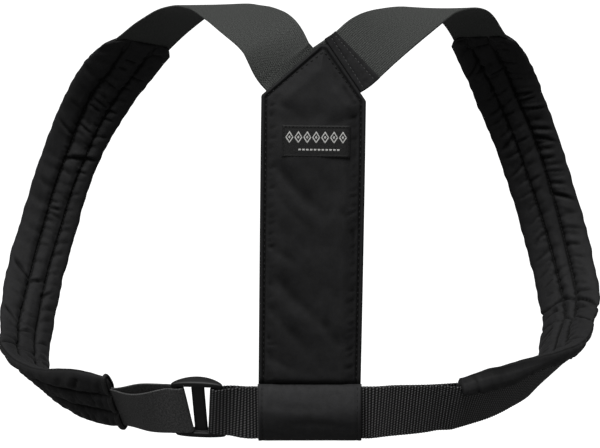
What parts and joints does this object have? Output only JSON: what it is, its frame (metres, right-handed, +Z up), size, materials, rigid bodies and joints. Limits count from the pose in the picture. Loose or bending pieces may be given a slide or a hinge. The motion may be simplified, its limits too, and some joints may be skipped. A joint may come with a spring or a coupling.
{
  "type": "posture corrector",
  "caption": "Harness worn over both shoulders: padded upright back panel, elastic straps to quilted shoulder pads, and a belt with a slide buckle that draws the shoulders back.",
  "frame": {"origin": "where the harness rests on the wearer: the middle of the line on which the elastic straps cross the shoulders, above the middle of the back panel's bottom edge", "axes": "+Z up, +Y forward to the wearer's chest, +X to the wearer's right"},
  "size_m": [0.4775, 0.2261, 0.3015],
  "materials": {
    "padded_cloth": "matt black padded cloth",
    "label": "fine woven, with a pale motif",
    "knitted_elastic": "knitted, dark grey",
    "woven_tape": "smooth flat weave, black",
    "ribbed_webbing": "ribbed weave, black",
    "buckle": "satin black"
  },
  "bodies": {
    "root": {"back_panel": "padded_cloth", "label_patch": "label", "belt_tunnel": "padded_cloth", "elastic_strap_left": "knitted_elastic", "elastic_strap_right": "knitted_elastic", "strap_tab_right": "padded_cloth", "shoulder_pad_left": "padded_cloth", "shoulder_pad_right": "padded_cloth", "pad_binding_left": "woven_tape", "strap_loop_left": "woven_tape", "slide_buckle": "buckle", "belt_webbing": "ribbed_webbing"}
  },
  "joints": []
}
